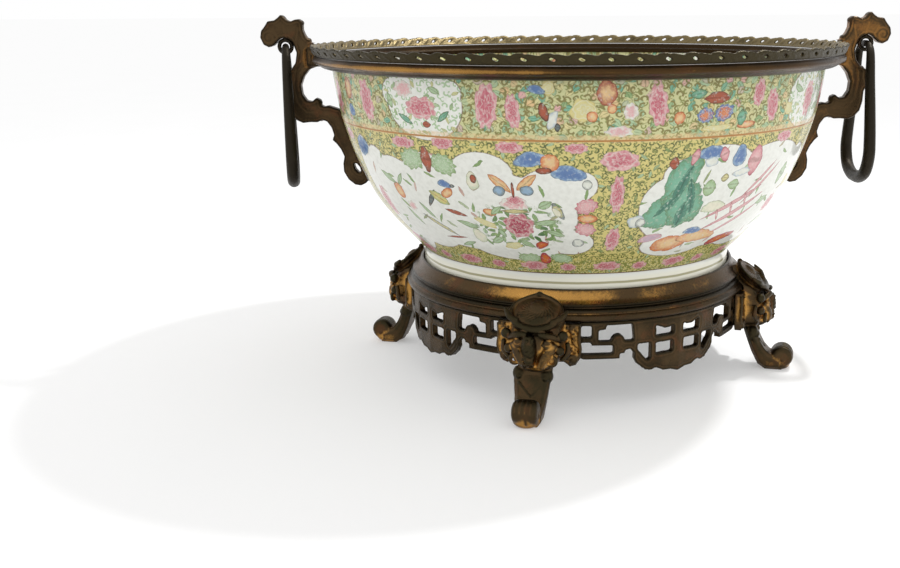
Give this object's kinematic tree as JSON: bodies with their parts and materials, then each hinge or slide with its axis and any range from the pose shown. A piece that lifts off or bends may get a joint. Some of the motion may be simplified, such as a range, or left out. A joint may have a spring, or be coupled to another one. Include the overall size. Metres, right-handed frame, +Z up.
{
  "type": "bronze-mounted bowl",
  "caption": "Enamelled porcelain punch bowl in a bronze rim collar with scroll handles and loose drop rings, on a bronze stand with mask legs and fretwork aprons.",
  "frame": {"origin": "centre of the footprint on the ground, on the bowl's axis", "axes": "+Z up, +X through the two handles, -Y towards the viewer of the picture"},
  "size_m": [0.4946, 0.4138, 0.2788],
  "materials": {
    "porcelain": "gloss glaze over enamels",
    "patinated_bronze": "brown patinated bronze with worn gilding",
    "grey_bronze": "grey-green bronze, satin",
    "dark_bronze": "near-black patinated bronze",
    "brass": "plain turned brass"
  },
  "bodies": {
    "mounted_bowl": {"porcelain_bowl": "porcelain", "rim_collar": "patinated_bronze", "rim_gallery": "grey_bronze", "handle_right": "patinated_bronze", "eye_right": "dark_bronze", "handle_screw_right_1": "brass", "handle_screw_right_2": "brass", "handle_left": "patinated_bronze", "eye_left": "dark_bronze", "handle_screw_left_1": "brass", "handle_screw_left_2": "brass", "stand_ring": "patinated_bronze", "leg_right": "patinated_bronze", "leg_bolt_right": "brass", "leg_back": "patinated_bronze", "leg_bolt_back": "brass", "leg_left": "patinated_bronze", "leg_bolt_left": "brass", "leg_front": "patinated_bronze", "leg_bolt_front": "brass", "apron_front_right": "patinated_bronze", "apron_screw_front_right_1": "brass", "apron_screw_front_right_2": "brass", "apron_back_right": "patinated_bronze", "apron_screw_back_right_1": "brass", "apron_screw_back_right_2": "brass", "apron_back_left": "patinated_bronze", "apron_screw_back_left_1": "brass", "apron_screw_back_left_2": "brass", "apron_front_left": "patinated_bronze", "apron_screw_front_left_1": "brass", "apron_screw_front_left_2": "brass"},
    "drop_ring_right": {"ring_right": "dark_bronze"},
    "drop_ring_left": {"ring_left": "dark_bronze"}
  },
  "joints": [
    {"name": "ring_right_swing", "type": "hinge", "parent": "mounted_bowl", "child": "drop_ring_right", "pos_m": [0.2286, 0, 0.2547], "axis": [0, -1, 0], "range_deg": [-18, 250]},
    {"name": "ring_left_swing", "type": "hinge", "parent": "mounted_bowl", "child": "drop_ring_left", "pos_m": [-0.2286, 0, 0.2547], "axis": [-0.1788, 0.9839, 0], "range_deg": [-18, 248]}
  ]
}
